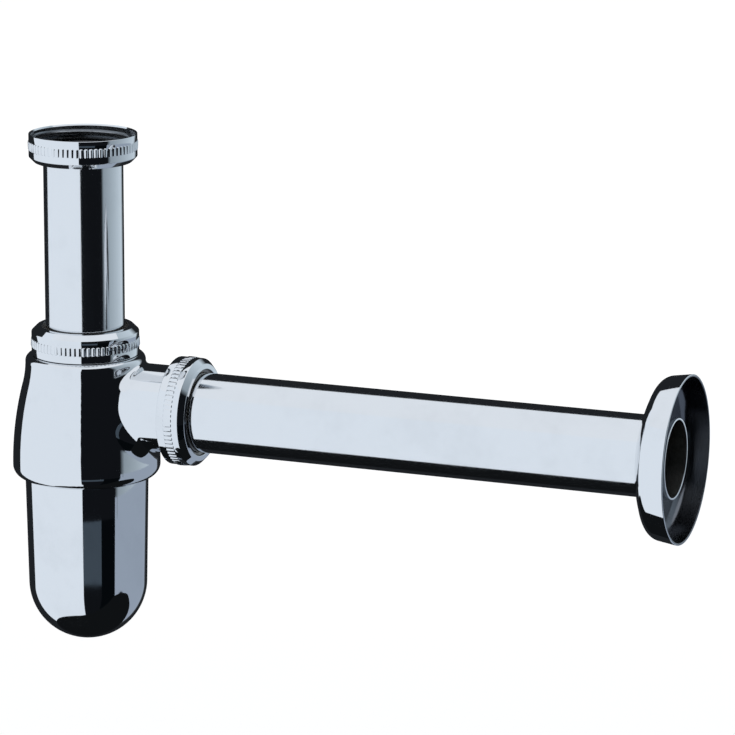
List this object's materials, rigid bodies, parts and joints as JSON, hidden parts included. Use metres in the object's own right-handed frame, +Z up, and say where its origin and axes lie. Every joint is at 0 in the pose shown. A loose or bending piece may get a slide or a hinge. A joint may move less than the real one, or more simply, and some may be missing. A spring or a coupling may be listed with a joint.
{
  "type": "bottle trap",
  "caption": "Chromed round bottle trap for a wash basin, with knurled nuts, a cup that unscrews, a straight pipe to the wall and a domed wall rosette.",
  "frame": {"origin": "centre of the inlet washer's upper face, where the basin waste seals inside the inlet union nut", "axes": "+Z up the inlet tube and out of the nut's mouth, +X along the outlet pipe to the wall"},
  "size_m": [0.2822, 0.066, 0.209],
  "materials": {
    "chrome": "polished chrome plate on brass",
    "black_rubber": "dull moulded rubber",
    "white_nylon": "satin moulded nylon"
  },
  "bodies": {
    "inlet": {"inlet_tube": "chrome", "inlet_washer": "black_rubber"},
    "inlet_nut": {"inlet_union_nut": "chrome"},
    "top_seal": {"top_cone_seal": "black_rubber"},
    "trap": {"trap_body": "chrome", "outlet_cone_seal": "black_rubber"},
    "top_ring": {"top_slip_ring": "white_nylon"},
    "top_nut": {"body_top_nut": "chrome"},
    "cup_ring": {"cup_seal": "black_rubber"},
    "cup": {"cup": "chrome"},
    "outlet_ring": {"outlet_slip_ring": "white_nylon"},
    "outlet_nut": {"outlet_nut": "chrome"},
    "pipe": {"outlet_pipe": "chrome"},
    "rosette": {"wall_rosette": "chrome"}
  },
  "joints": [
    {"name": "inlet_nut_spin", "type": "hinge", "parent": "inlet", "child": "inlet_nut", "pos_m": [0, 0, 0], "axis": [0, 0, 1], "continuous": true},
    {"name": "height_slide", "type": "slide", "parent": "inlet", "child": "top_seal", "axis": [0, 0, 1], "range_m": [-0.03, 0.022]},
    {"name": "body_swivel", "type": "hinge", "parent": "top_seal", "child": "trap", "pos_m": [0, 0, -0.1036], "axis": [0, 0, 1], "continuous": true},
    {"name": "top_nut_lift", "type": "slide", "parent": "trap", "child": "top_ring", "axis": [0, 0, 1], "range_m": [0, 0.00924]},
    {"name": "top_nut_turn", "type": "hinge", "parent": "top_ring", "child": "top_nut", "pos_m": [0, 0, -0.1036], "axis": [0, 0, 1], "range_deg": [0, 1445]},
    {"name": "cup_drop", "type": "slide", "parent": "trap", "child": "cup_ring", "axis": [0, 0, -1], "range_m": [0, 0.01]},
    {"name": "cup_turn", "type": "hinge", "parent": "cup_ring", "child": "cup", "pos_m": [0, 0, -0.1036], "axis": [0, 0, -1], "range_deg": [0, 1805]},
    {"name": "outlet_nut_lift", "type": "slide", "parent": "trap", "child": "outlet_ring", "axis": [1, 0, 0], "range_m": [0, 0.00924]},
    {"name": "outlet_nut_turn", "type": "hinge", "parent": "outlet_ring", "child": "outlet_nut", "pos_m": [0.0403, 0, -0.1036], "axis": [1, 0, 0], "range_deg": [0, 1445]},
    {"name": "pipe_slide", "type": "slide", "parent": "trap", "child": "pipe", "axis": [1, 0, 0], "range_m": [-0.01, 0.012]},
    {"name": "rosette_slide", "type": "slide", "parent": "pipe", "child": "rosette", "axis": [1, 0, 0], "range_m": [-0.165, 0.004]}
  ],
  "couplings": [
    {"joint": "top_nut_turn", "follows": "top_nut_lift", "rad_per_m": 2721.2},
    {"joint": "cup_turn", "follows": "cup_drop", "rad_per_m": 3141.6},
    {"joint": "outlet_nut_turn", "follows": "outlet_nut_lift", "rad_per_m": 2721.2}
  ]
}
